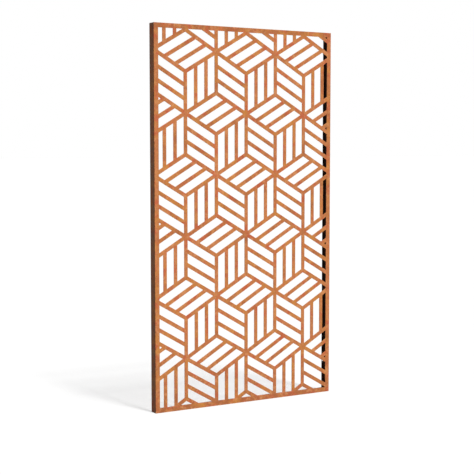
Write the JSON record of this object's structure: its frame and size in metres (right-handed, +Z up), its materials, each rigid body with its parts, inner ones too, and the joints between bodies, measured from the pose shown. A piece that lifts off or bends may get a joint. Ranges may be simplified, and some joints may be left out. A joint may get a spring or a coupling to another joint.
{
  "type": "laser cut metal screen",
  "caption": "Upright weathering-steel screen: a thin laser-cut sheet with a tumbling-block slot pattern on a frame of folded channels.",
  "frame": {"origin": "on the floor, under the middle of the panel's width and depth", "axes": "+X to the viewer's right across the patterned face, +Y from the patterned face to the back, +Z up"},
  "size_m": [0.978, 0.048, 1.8],
  "materials": {
    "weathered_sheet": "weathering steel with an even orange-brown rust patina, matt",
    "weathered_channel": "weathering steel, rusted outside and dark mill scale in the sheltered inside, matt",
    "corner_plate": "dark hot-rolled steel with light rust, matt",
    "zinc_plated": "zinc-plated steel, satin, with rust stain"
  },
  "bodies": {
    "root": {"screen_sheet": "weathered_sheet", "left_stile": "weathered_channel", "right_stile": "weathered_channel", "top_rail": "weathered_channel", "bottom_rail": "weathered_channel", "corner_plate_bottom_left": "corner_plate", "corner_plate_bottom_right": "corner_plate", "corner_plate_top_left": "corner_plate", "corner_plate_top_right": "corner_plate", "corner_screws": "zinc_plated", "weld_studs": "zinc_plated", "stud_washers": "zinc_plated", "stud_nuts": "zinc_plated"}
  },
  "joints": []
}
